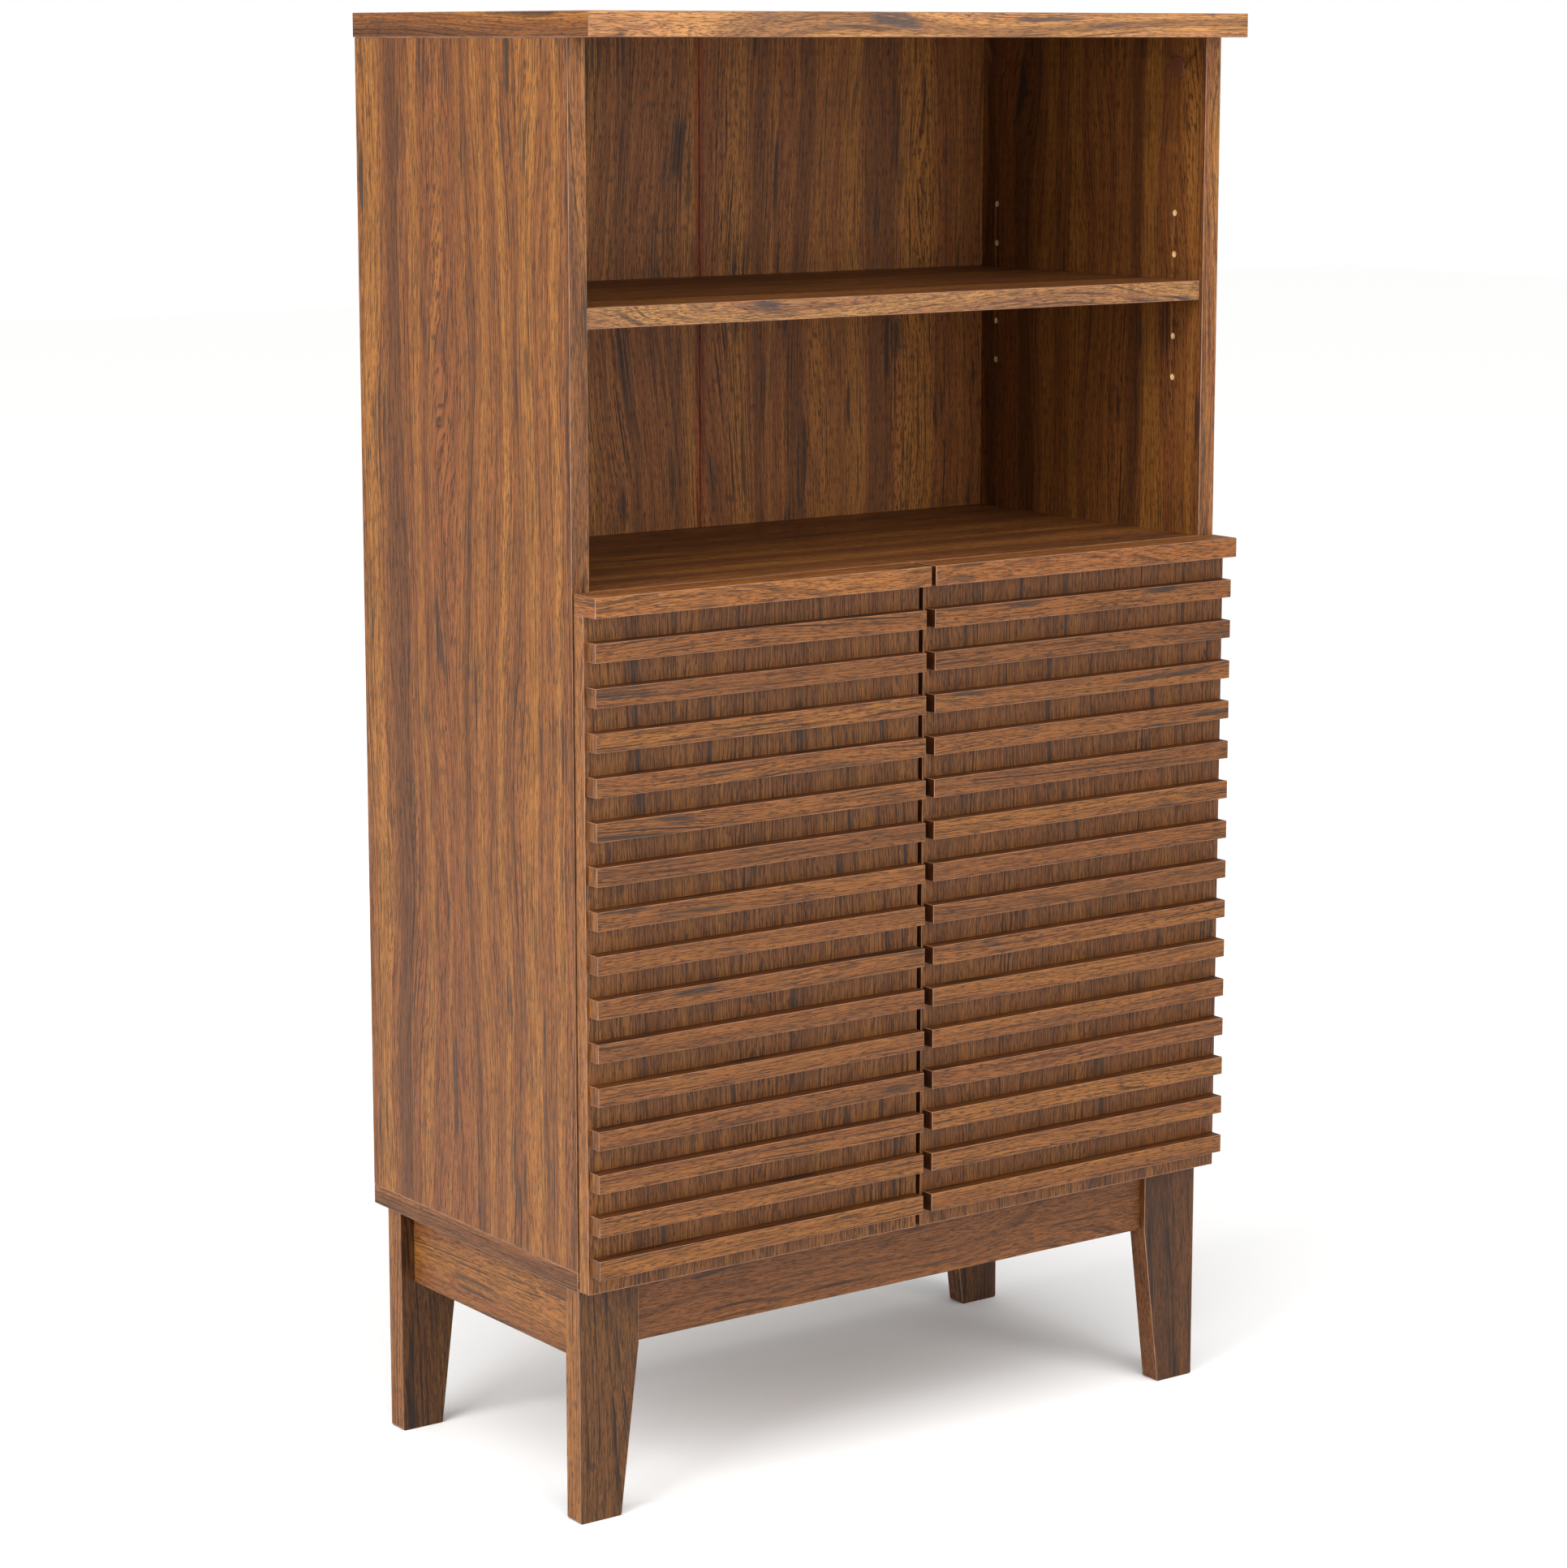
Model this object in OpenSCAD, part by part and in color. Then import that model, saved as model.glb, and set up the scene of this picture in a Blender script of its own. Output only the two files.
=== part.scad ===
// Two-door shoe cabinet on a legged base, with an open bay above the doors.
// Millimetres, +Z up. X runs to the right and Y runs to the back.
// The origin is on the floor, at the middle of the top panel's outline.

/* [Carcass] */
// Width over the two side panels
body_w = 600; // [400:1:900]
// Depth of the side panels, front edge to back edge
side_d = 290; // [220:1:400]
// Height of the side panels, which stand on the bottom panel
side_h = 880; // [700:1:1200]
// Thickness of the side panels, bottom panel and shelves
board_t = 15; // [12:0.5:22]
// Thickness of the top panel
top_t = 18; // [12:0.5:30]
// How far the top panel stands out over the side panels at each side
top_side_overhang = 1; // [0:0.5:20]
// How far the top panel stands out in front of the side panels
top_front_overhang = 29; // [20:0.5:60]
// How far the top panel stands out behind the side panels
top_back_overhang = 1; // [0:0.5:20]

/* [Back panel] */
// Thickness of the back panel
back_t = 3; // [2.5:0.1:6]
// Distance from the side panels' back edge to the back panel's inner face
back_inset = 15.5; // [8:0.5:40]
// Depth of the grooves that hold the back panel
groove_depth = 6; // [4:0.5:8]
// Space between the back panel and each wall of its groove
groove_gap = 0.2; // [0.1:0.05:0.5]
// Width and depth of the fold line down the middle of the back panel
fold_line = 1; // [0.5:0.1:2]

/* [Shelves] */
// Clear height below the fixed shelf, above the bottom panel
lower_clear_h = 480; // [300:1:700]
// Height of the upper shelf's underside above the fixed shelf
upper_shelf_rise = 184; // [120:1:260]
// Height of each shoe bay behind the doors
shoe_bay_h = 150; // [120:1:220]
// Setback of the upper shelf behind the side panels' front edges
upper_shelf_setback = 2.5; // [0:0.5:20]
// Setback of the two shelves behind the doors
inner_shelf_setback = 20; // [10:1:60]
// Space left between a loose shelf and what is beside or behind it
shelf_gap = 0.75; // [0.5:0.25:2]
// Spacing of the shelf pin holes
pin_pitch = 32; // [25:1:32]
// Diameter of a shelf pin
pin_d = 5; // [4:0.5:7]
// Length of a shelf pin
pin_l = 18; // [14:1:24]
// Depth of a shelf pin hole
pin_hole_depth = 10; // [8:0.5:11]
// Height of a pin's axis above the underside of the shelf that it carries
pin_in_shelf = 2; // [1.5:0.5:4]
// Distance from a side panel's front edge to the front column of holes
front_hole_inset = 34; // [28:1:60]
// Distance from a side panel's back edge to the back column of holes
back_hole_inset = 35; // [30:1:70]

/* [Doors] */
// Gap between the doors and the carcass front
door_gap = 1.5; // [1:0.5:4]
// Thickness of a door panel
door_t = 12; // [11.5:0.5:22]
// How far a door's outer edge stays inside the side panel's outer face
door_reveal = 0.75; // [0.5:0.25:3]
// Gap between the two doors
door_centre_gap = 4; // [3:0.5:8]
// Height of the doors' lower edge above the bottom panel's underside
door_foot_rise = 1.5; // [0:0.5:6]
// Depth of the grip rail along a door's top edge
rail_d = 27.5; // [24:0.5:50]
// Number of slats on a door
slat_count = 15; // [6:1:15]
// Height of a slat
slat_h = 14; // [8:0.5:24]
// Thickness of a slat
slat_t = 12; // [6:0.5:14]
// Distance from a door's edge to the end of a slat
slat_inset = 2; // [0:0.5:20]
// Space below the lowest slat
slat_foot_gap = 13.5; // [6:0.5:30]

/* [Base] */
// Height of the legs, floor to bottom panel
leg_h = 178; // [80:1:250]
// Thickness of a leg, front to back
leg_t = 18; // [15:0.5:30]
// Width of a leg at its top
leg_top_w = 52; // [40:1:80]
// Width of a leg at its foot
leg_foot_w = 36; // [24:1:60]
// Distance from the side panel's outer face to a leg's outer edge
leg_side_inset = 4; // [0:0.5:20]
// Distance from the side panel's front edge to a front leg
leg_front_inset = 4.5; // [0:0.5:20]
// Distance from the side panel's back edge to a back leg
leg_back_inset = 14; // [0:0.5:30]
// Size of the small bevel at the corners of a foot
foot_bevel = 1.5; // [0.5:0.5:4]
// Height of the front and back aprons
apron_h = 49; // [30:1:80]
// Thickness of the front and back aprons
apron_t = 12; // [12:0.5:16]
// Height of the side aprons
side_apron_h = 59; // [30:1:80]
// Thickness of the side aprons
side_apron_t = 15; // [12:0.5:20]
// Setback of a side apron behind the legs' outer edges
side_apron_recess = 12; // [2:0.5:20]
// Thickness of a leg bracket's steel
bracket_t = 2; // [1.5:0.5:3]
// Width of a leg bracket
bracket_w = 18; // [14:1:30]
// Length of each arm of a leg bracket
bracket_l = 38; // [24:1:60]
// Diameter of a bracket's screw holes
bracket_hole_d = 4.5; // [3.5:0.5:6]

/* [Hinges] */
// Distance from a door's end to the middle of the nearer hinge
hinge_inset = 90; // [70:1:140]
// Diameter of the cup bore in a door
cup_bore_d = 26; // [26:0.5:35]
// Depth of the cup bore
cup_bore_depth = 9; // [8.5:0.5:11]
// Distance from a door's outer edge to the cup's axis
cup_inset = 18; // [17:0.5:24]
// Space between the cup and its bore
cup_gap = 0.1; // [0.05:0.05:0.2]
// Thickness of the cup's wall
cup_wall = 1; // [0.8:0.1:1.5]
// Thickness of the cup's flange
flange_t = 0.8; // [0.6:0.1:1.2]
// Width of the flange's screw wings
wing_w = 12; // [10:1:16]
// Length of the flange over both wings
wing_l = 54; // [48:1:60]
// Distance between the screws in the two wings
wing_screw_span = 42; // [38:1:48]
// Diameter of the hinge screws' holes
hinge_screw_d = 3.5; // [3:0.5:5]
// Distance from a door's outer edge in to the axis that it turns about
axis_inset = 4; // [4:0.5:6]
// Distance from the door's back face forward to that axis
axis_depth = 6.5; // [6:0.5:8]
// Length of the arm's channel, from the carcass front
arm_l = 60; // [50:1:80]
// Width of the arm's channel
arm_w = 14; // [12:1:18]
// Height of the arm's channel above its mounting plate
arm_h = 9.5; // [8:0.5:12]
// Thickness of the mounting plate
plate_t = 2.5; // [2:0.5:4]
// Length of the mounting plate's cross bar
plate_l = 50; // [44:1:60]
// Width of the mounting plate's cross bar
plate_w = 16; // [12:1:24]
// Distance between the mounting plate's two screws
plate_screw_span = 32; // [32:1:32]
// Distance from the carcass front to the mounting plate's screws
plate_screw_inset = 37; // [28:1:45]
// Distance from the cup's axis out to the nose pin
nose_offset = 3.75; // [3:0.05:4.5]
// Distance of the nose pin in front of the carcass front
nose_reach = 4.2; // [3.5:0.1:5]
// Radius of the arm's nose
nose_r = 2; // [1.5:0.1:2.5]
// Diameter of the nose pin
nose_pin_d = 2; // [1.5:0.1:2.4]
// Radial clearance of the nose pin in the link
nose_pin_gap = 0.1; // [0.05:0.01:0.15]
// Length of the link between its two ends
link_l = 12.1; // [11:0.1:13]
// Angle of the link below the door's plane when the door is shut
link_rest_angle = 10.5; // [8:0.5:14]
// How high the link's elbow stands over the line between its two ends
link_elbow_h = 2.9; // [2:0.1:3.5]
// Distance of the elbow from the nose pin, along that line
link_elbow_at = 8.6; // [7:0.1:9]

/* [Fastenings] */
// Diameter of a cam drum
cam_d = 15; // [12:0.5:15]
// Depth of a cam drum's bore
cam_depth = 12.5; // [9:0.5:12.5]
// Distance from a joint to the middle of its cam drum
cam_inset = 22.5; // [20:0.5:34]
// Diameter of a cam bolt's shank
cam_bolt_d = 6; // [5:0.5:7]
// Diameter of a cam bolt's thread
cam_thread_d = 5; // [4:0.5:6]
// Depth of a cam bolt's threaded hole
cam_thread_depth = 11; // [8:0.5:11]
// Diameter of the carcass dowels
dowel_d = 8; // [6:1:8]
// Length of the carcass dowels
dowel_l = 30; // [25:1:35]
// How far a carcass dowel goes into a panel's face
dowel_in_face = 10; // [8:0.5:11]
// Diameter of the base dowels
base_dowel_d = 6; // [5:0.5:6]
// Length of the base dowels
base_dowel_l = 24; // [20:1:30]
// Radial space around a dowel, and the space past each of its ends
dowel_gap = 0.1; // [0.05:0.05:0.3]

/* [Hidden] */

$fn = 64;
eps = 0.01;

wood = [0.58, 0.40, 0.26];
wood_pale = [0.66, 0.48, 0.33];
wood_dark = [0.40, 0.26, 0.17];
steel = [0.72, 0.73, 0.74];
beech = [0.80, 0.66, 0.48];

// Places of the carcass
top_w = body_w + 2 * top_side_overhang;
top_d = side_d + top_front_overhang + top_back_overhang;
left_x = -body_w / 2;
inner_x = left_x + board_t;
inner_w = body_w - 2 * board_t;
front_y = top_front_overhang - top_d / 2;
rear_y = front_y + side_d;
bottom_z = leg_h;
side_z = bottom_z + board_t;
top_z = side_z + side_h;
back_y = rear_y - back_inset;
fixed_z = side_z + lower_clear_h;
upper_z = fixed_z + board_t + upper_shelf_rise;
lower_z = side_z + shoe_bay_h;
middle_z = lower_z + board_t + shoe_bay_h;

// Columns and rows of the shelf pin holes
column_ys = [front_y + front_hole_inset, rear_y - back_hole_inset];
upper_rows = [for (k = [-2 : 2]) upper_z + pin_in_shelf + k * pin_pitch];
middle_rows = [for (k = [-1 : 1]) middle_z + pin_in_shelf + k * pin_pitch];
lower_rows = [for (k = [-1 : 1]) lower_z + pin_in_shelf + k * pin_pitch];

// Places of the doors
door_w = (body_w - door_centre_gap) / 2 - door_reveal;
door_x = left_x + door_reveal;
door_back_y = front_y - door_gap;
door_front_y = door_back_y - door_t;
door_z = bottom_z + door_foot_rise;
door_h = fixed_z - door_z;
slat_pitch = (door_h - slat_foot_gap) / slat_count;
slat_l = door_w - 2 * slat_inset;

// Places of the hinges
hinge_zs = [door_z + hinge_inset, door_z + door_h - hinge_inset];
cup_x = door_x + cup_inset;
cup_r = cup_bore_d / 2 - cup_gap;
cup_depth = cup_bore_depth - cup_gap;
axis_x = door_x + axis_inset;
axis_y = door_back_y - axis_depth;
nose_x = cup_x - nose_offset;
nose_y = front_y - nose_reach;
nose_w = 6;
channel_x = inner_x + plate_t;
channel_gap = 0.3;
channel_y = door_back_y + flange_t + channel_gap;
neck_w = 3;
neck_step = 0.3;
neck_root = [2.8, 1.5];
link_plate_t = 2;
link_plate_z = nose_w / 2 + 0.3;
link_bar_w = 2.2;
link_bar_step = 0.2;
link_bar_h = link_plate_t - 2 * link_bar_step;
link_elbow_round = 0.6;
link_web_w = 1.6;
link_web_h = 2 * link_plate_z + link_plate_t;
eye_r = 2.2;
link_end_r = 1.6;

// Places of the base
leg_x = left_x + leg_side_inset;
front_leg_y = front_y + leg_front_inset;
back_leg_y = rear_y - leg_back_inset - leg_t;
taper_z = leg_h - apron_h;
side_apron_x = leg_x + side_apron_recess;
side_apron_y = front_leg_y + leg_t;
side_apron_l = back_leg_y - side_apron_y;
apron_x = leg_x + leg_top_w;
apron_l = -2 * apron_x;
bracket_x = side_apron_x + side_apron_t + 3;

// Places of the carcass joints
dowel_ys = [column_ys[0] + pin_pitch, column_ys[1] - pin_pitch];
joint_x = left_x + board_t / 2;
fixed_mid_z = fixed_z + board_t / 2;

function slat_name(side, i) = str(side, "_slat_", i < 10 ? "0" : "", i);

// Puts what is modelled for the left half on the side that is asked for
module on_side(side) {
    if (side == "right")
        mirror([1, 0, 0]) children();
    else
        children();
}

module both_sides() {
    for (side = ["left", "right"])
        on_side(side) children();
}

// A round rod along Z from the middle of its lower end
module rod(d, l) {
    cylinder(d = d, h = l);
}

// A rod that starts at the origin and runs along +X
module rod_x(d, l) {
    rotate([0, 90, 0]) rod(d, l);
}

// A rod that starts at the origin and runs along +Y
module rod_y(d, l) {
    rotate([-90, 0, 0]) rod(d, l);
}

// ---- Carcass joints: each is drawn with the joint's plane at z = 0 ----

// Turns and places the cam and dowel positions of the left half: the child is drawn
// with its bolt along +Z and the drum's open face towards +X
module at_top_joint(ys) {
    for (y = ys) translate([joint_x, y, top_z]) children();
}

module at_bottom_joint(ys) {
    for (y = ys) translate([joint_x, y, side_z]) mirror([0, 0, 1]) children();
}

module at_fixed_shelf_joint(ys) {
    for (y = ys)
        translate([inner_x, y, fixed_mid_z])
            rotate([0, -90, 0]) mirror([1, 0, 0]) children();
}

// The drum's bore and the bolt's hole in the panel that holds the drum
module cam_bore() {
    translate([board_t / 2 - cam_depth, 0, -cam_inset]) rod_x(cam_d, cam_depth + eps);
    translate([0, 0, -cam_inset]) rod(cam_bolt_d + 2, cam_inset + eps);
}

// The threaded hole in the panel that takes the bolt
module cam_thread_bore() {
    translate([0, 0, -eps]) rod(cam_thread_d, cam_thread_depth + eps);
}

module cam_drum() {
    drum_d = cam_d - 0.2;
    drum_l = cam_depth - 0.6;
    slot_w = 1.6;
    slot_depth = 2.5;
    difference() {
        translate([board_t / 2 - cam_depth + 0.2, 0, -cam_inset]) rod_x(drum_d, drum_l);
        translate([0, 0, -cam_inset - cam_bolt_d / 2]) rod(cam_bolt_d + 1.4, cam_inset);
        for (turn = [0, 90])
            translate([board_t / 2 - slot_depth / 2, 0, -cam_inset])
                rotate([turn, 0, 0]) cube([slot_depth, cam_d * 0.6, slot_w], center = true);
    }
}

module cam_bolt() {
    neck_d = cam_bolt_d - 2.5;
    head_l = 2.5;
    translate([0, 0, -cam_inset - head_l / 2]) rod(cam_bolt_d, head_l);
    translate([0, 0, -cam_inset + head_l / 2]) rod(neck_d, 5);
    translate([0, 0, -cam_inset + head_l / 2 + 5]) rod(cam_bolt_d, cam_inset - head_l / 2 - 5);
    rod(cam_thread_d - 0.1, cam_thread_depth - 0.5);
}

module dowel_bore(d, depth) {
    translate([0, 0, -eps]) rod(d + 2 * dowel_gap, depth + dowel_gap + eps);
}

// ---- Carcass panels ----

// The groove that the back panel's edge slides in, drawn as the whole panel made larger
module back_groove() {
    translate([inner_x - groove_depth, back_y - groove_gap, side_z - groove_depth])
        cube([inner_w + 2 * groove_depth, back_t + 2 * groove_gap, side_h + 2 * groove_depth]);
}

module top_panel() {
    color(wood)
        difference() {
            translate([-top_w / 2, -top_d / 2, top_z]) cube([top_w, top_d, top_t]);
            back_groove();
            both_sides() {
                at_top_joint(column_ys) cam_thread_bore();
                at_top_joint(dowel_ys) dowel_bore(dowel_d, dowel_in_face);
            }
        }
}

module bottom_panel() {
    color(wood)
        difference() {
            translate([left_x, front_y, bottom_z]) cube([body_w, side_d, board_t]);
            back_groove();
            both_sides() {
                at_bottom_joint(column_ys) cam_thread_bore();
                at_bottom_joint(dowel_ys) dowel_bore(dowel_d, dowel_in_face);
            }
        }
}

module side_panel(side) {
    color(wood)
        on_side(side)
            difference() {
                translate([left_x, front_y, side_z]) cube([board_t, side_d, side_h]);
                back_groove();
                at_top_joint(column_ys) cam_bore();
                at_bottom_joint(column_ys) cam_bore();
                at_top_joint(dowel_ys) mirror([0, 0, 1]) dowel_bore(dowel_d, dowel_l - dowel_in_face);
                at_bottom_joint(dowel_ys) mirror([0, 0, 1]) dowel_bore(dowel_d, dowel_l - dowel_in_face);
                at_fixed_shelf_joint(column_ys) cam_thread_bore();
                at_fixed_shelf_joint(dowel_ys) dowel_bore(dowel_d, dowel_in_face);
                for (z = concat(upper_rows, middle_rows, lower_rows))
                    for (y = column_ys)
                        translate([inner_x - pin_hole_depth, y, z]) rod_x(pin_d, pin_hole_depth + eps);
            }
}

module fixed_shelf() {
    color(wood)
        difference() {
            translate([inner_x, front_y, fixed_z]) cube([inner_w, back_y - front_y, board_t]);
            both_sides() {
                at_fixed_shelf_joint(column_ys) cam_bore();
                at_fixed_shelf_joint(dowel_ys)
                    mirror([0, 0, 1]) dowel_bore(dowel_d, dowel_l - dowel_in_face);
            }
        }
}

// A thin board in grooves on all four sides, folded along its middle for packing
module back_panel() {
    edge = groove_depth - 0.5;
    color(wood_dark)
        difference() {
            translate([inner_x - edge, back_y, side_z - edge])
                cube([inner_w + 2 * edge, back_t, side_h + 2 * edge]);
            translate([-fold_line / 2, back_y - eps, side_z - groove_depth])
                cube([fold_line, fold_line + eps, side_h + 2 * groove_depth]);
        }
}

// A shelf that lies on four pins, which sit in notches in its underside
module loose_shelf(z, setback) {
    notch_l = pin_l - pin_hole_depth + 2;
    notch_w = pin_d + 1;
    color(wood)
        difference() {
            translate([inner_x + shelf_gap, front_y + setback, z])
                cube([inner_w - 2 * shelf_gap, back_y - front_y - setback - shelf_gap, board_t]);
            both_sides()
                for (y = column_ys)
                    translate([inner_x, y - notch_w / 2, z - eps])
                        cube([notch_l, notch_w, pin_in_shelf + pin_d / 2 + eps]);
        }
}

module shelf_pins() {
    color(steel)
        both_sides()
            for (z = [lower_z, middle_z, upper_z])
                for (y = column_ys)
                    translate([inner_x - pin_hole_depth + 0.5, y, z + pin_in_shelf])
                        rod_x(pin_d - 0.1, pin_l - 0.5);
}

module cam_fittings() {
    color(steel)
        both_sides() {
            at_top_joint(column_ys) {
                cam_drum();
                cam_bolt();
            }
            at_bottom_joint(column_ys) {
                cam_drum();
                cam_bolt();
            }
            at_fixed_shelf_joint(column_ys) {
                cam_drum();
                cam_bolt();
            }
        }
}

module dowels() {
    color(beech)
        both_sides() {
            at_top_joint(dowel_ys) translate([0, 0, dowel_in_face - dowel_l]) rod(dowel_d, dowel_l);
            at_bottom_joint(dowel_ys) translate([0, 0, dowel_in_face - dowel_l]) rod(dowel_d, dowel_l);
            at_fixed_shelf_joint(dowel_ys) translate([0, 0, dowel_in_face - dowel_l]) rod(dowel_d, dowel_l);
            at_front_apron_joint() translate([-base_dowel_l / 2, 0, 0]) rod_x(base_dowel_d, base_dowel_l);
            at_back_apron_joint() translate([-base_dowel_l / 2, 0, 0]) rod_x(base_dowel_d, base_dowel_l);
            at_side_apron_joints() translate([0, -base_dowel_l / 2, 0]) rod_y(base_dowel_d, base_dowel_l);
        }
}

// ---- Base ----

// Heights of the two dowels in each end of an apron of height h
function apron_dowel_zs(h) = [bottom_z - h * 0.3, bottom_z - h * 0.7];

module at_front_apron_joint() {
    for (z = apron_dowel_zs(apron_h))
        translate([apron_x, front_leg_y + leg_t - apron_t / 2, z]) children();
}

module at_back_apron_joint() {
    for (z = apron_dowel_zs(apron_h))
        translate([apron_x, back_leg_y + apron_t / 2, z]) children();
}

module at_side_apron_joints() {
    for (y = [side_apron_y, side_apron_y + side_apron_l])
        for (z = apron_dowel_zs(side_apron_h))
            translate([side_apron_x + side_apron_t / 2, y, z]) children();
}

module base_dowel_bore_x() {
    l = base_dowel_l + 2 * dowel_gap;
    translate([-l / 2, 0, 0]) rod_x(base_dowel_d + 2 * dowel_gap, l);
}

module base_dowel_bore_y() {
    l = base_dowel_l + 2 * dowel_gap;
    translate([0, -l / 2, 0]) rod_y(base_dowel_d + 2 * dowel_gap, l);
}

// The outline of a leg from the front: straight behind the apron, then narrower to the foot
module leg_outline() {
    b = foot_bevel;
    polygon([
        [0, leg_h], [0, b], [b, 0], [leg_foot_w - b, 0], [leg_foot_w, b],
        [leg_top_w, taper_z], [leg_top_w, leg_h]
    ]);
}

// place is "front" or "back"
module leg(side, place) {
    y = place == "front" ? front_leg_y : back_leg_y;
    color(wood_pale)
        on_side(side)
            difference() {
                translate([leg_x, y + leg_t, 0]) rotate([90, 0, 0]) linear_extrude(leg_t) leg_outline();
                at_front_apron_joint() base_dowel_bore_x();
                at_back_apron_joint() base_dowel_bore_x();
                at_side_apron_joints() base_dowel_bore_y();
            }
}

// place is "front" or "back"
module cross_apron(place) {
    y = place == "front" ? front_leg_y + leg_t - apron_t : back_leg_y;
    color(wood)
        difference() {
            translate([apron_x, y, bottom_z - apron_h]) cube([apron_l, apron_t, apron_h]);
            both_sides() {
                at_front_apron_joint() base_dowel_bore_x();
                at_back_apron_joint() base_dowel_bore_x();
            }
        }
}

module side_apron(side) {
    color(wood)
        on_side(side)
            difference() {
                translate([side_apron_x, side_apron_y, bottom_z - side_apron_h])
                    cube([side_apron_t, side_apron_l, side_apron_h]);
                at_side_apron_joints() base_dowel_bore_y();
            }
}

// An angle of steel: one arm on the leg's inner face, the other under the bottom panel
module leg_bracket() {
    hole_inset = 10;
    difference() {
        union() {
            translate([0, 0, -bracket_l]) cube([bracket_w, bracket_t, bracket_l]);
            translate([0, 0, -bracket_t]) cube([bracket_w, bracket_l, bracket_t]);
        }
        for (reach = [hole_inset, bracket_l - hole_inset + bracket_t])
            translate([bracket_w / 2, 0, 0]) {
                translate([0, reach, -bracket_t - 1]) rod(bracket_hole_d, bracket_t + 2);
                translate([0, -1, -reach]) rod_y(bracket_hole_d, bracket_t + 2);
            }
    }
}

module leg_brackets() {
    color(steel)
        both_sides() {
            translate([bracket_x, side_apron_y, bottom_z]) leg_bracket();
            translate([bracket_x, back_leg_y, bottom_z]) mirror([0, 1, 0]) leg_bracket();
        }
}

// ---- Doors ----

module door_panel(side) {
    color(wood)
        on_side(side)
            difference() {
                translate([door_x, door_front_y, door_z]) cube([door_w, door_t, door_h]);
                for (z = hinge_zs)
                    translate([cup_x, door_back_y - cup_bore_depth, z])
                        rod_y(cup_bore_d, cup_bore_depth + eps);
            }
}

// The rail lies on the panel's top edge and stands out in front of the slats as a grip
module door_rail(side) {
    color(wood_pale)
        on_side(side)
            translate([door_x, door_back_y - rail_d, fixed_z]) cube([door_w, rail_d, board_t]);
}

// Slat 1 is the highest
module door_slat(side, i) {
    z = door_z + slat_foot_gap + (slat_count - i) * slat_pitch;
    color(wood_pale)
        on_side(side)
            translate([door_x + slat_inset, door_front_y - slat_t, z]) cube([slat_l, slat_t, slat_h]);
}

// ---- Hinges, drawn for the left door and around the height z = 0 ----

// The cup and its flange: the flange is open towards the door's edge, where the arm passes
module hinge_cup() {
    wing_gap = 1.2;
    difference() {
        union() {
            translate([cup_x, door_back_y - cup_depth, 0]) rod_y(2 * cup_r, cup_depth);
            translate([cup_x - wing_w / 2, door_back_y, -wing_l / 2]) cube([wing_w, flange_t, wing_l]);
            translate([cup_x, door_back_y, 0]) rod_y(2 * cup_r, flange_t);
        }
        translate([cup_x, door_back_y - cup_depth + cup_wall, 0])
            rod_y(2 * (cup_r - cup_wall), cup_depth + flange_t);
        translate([cup_x - cup_r - 1, door_back_y, -arm_w / 2])
            cube([cup_r + 1 - wing_gap, flange_t + 1, arm_w]);
        for (z = [-wing_screw_span / 2, wing_screw_span / 2])
            translate([cup_x, door_back_y - 1, z]) rod_y(hinge_screw_d, flange_t + 2);
    }
}

module hinge_cups(side) {
    color(steel)
        on_side(side)
            for (z = hinge_zs)
                translate([0, 0, z]) hinge_cup();
}

// The arm: a cross plate on the side panel, a channel, and a nose that carries the link's pin
module hinge_arm() {
    plate_y = front_y + plate_screw_inset;
    pin_h = nose_w + 2 * (link_plate_t + 0.6);
    wall = 1.6;
    neck_start = nose_pin_d / 2 + neck_step;
    neck_run = [channel_x, channel_y] + neck_root - [nose_x, nose_y];
    difference() {
        translate([channel_x, channel_y, -arm_w / 2])
            cube([arm_h, front_y + arm_l - channel_y, arm_w]);
        translate([channel_x - eps, front_y + wall * 4, wall - arm_w / 2])
            cube([arm_h - wall + eps, arm_l - wall * 4 + eps, arm_w - 2 * wall]);
    }
    difference() {
        union() {
            translate([inner_x, plate_y - plate_w / 2, -plate_l / 2]) cube([plate_t, plate_w, plate_l]);
            translate([inner_x, front_y + 8, -arm_w / 2]) cube([plate_t, arm_l - 8, arm_w]);
        }
        for (z = [-plate_screw_span / 2, plate_screw_span / 2])
            translate([inner_x - 1, plate_y, z]) rod_x(hinge_screw_d, plate_t + 2);
    }
    translate([nose_x, nose_y, -nose_w / 2]) {
        rod(2 * nose_r, nose_w);
        rotate([0, 0, atan2(neck_run.y, neck_run.x)])
            translate([neck_start, -neck_w / 2, neck_step])
                cube([norm(neck_run) - neck_start, neck_w, nose_w - 2 * neck_step]);
    }
    translate([nose_x, nose_y, -pin_h / 2]) rod(nose_pin_d, pin_h);
}

module hinge_arms() {
    color(steel)
        both_sides()
            for (z = hinge_zs)
                translate([0, 0, z]) hinge_arm();
}

// A straight bar of the link, of width w and height h, between two points of its plane
module link_bar(from, to, w, h) {
    run = to - from;
    translate(from)
        rotate([0, 0, atan2(run.y, run.x)])
            translate([0, -w / 2, 0]) cube([norm(run), w, h]);
}

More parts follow.
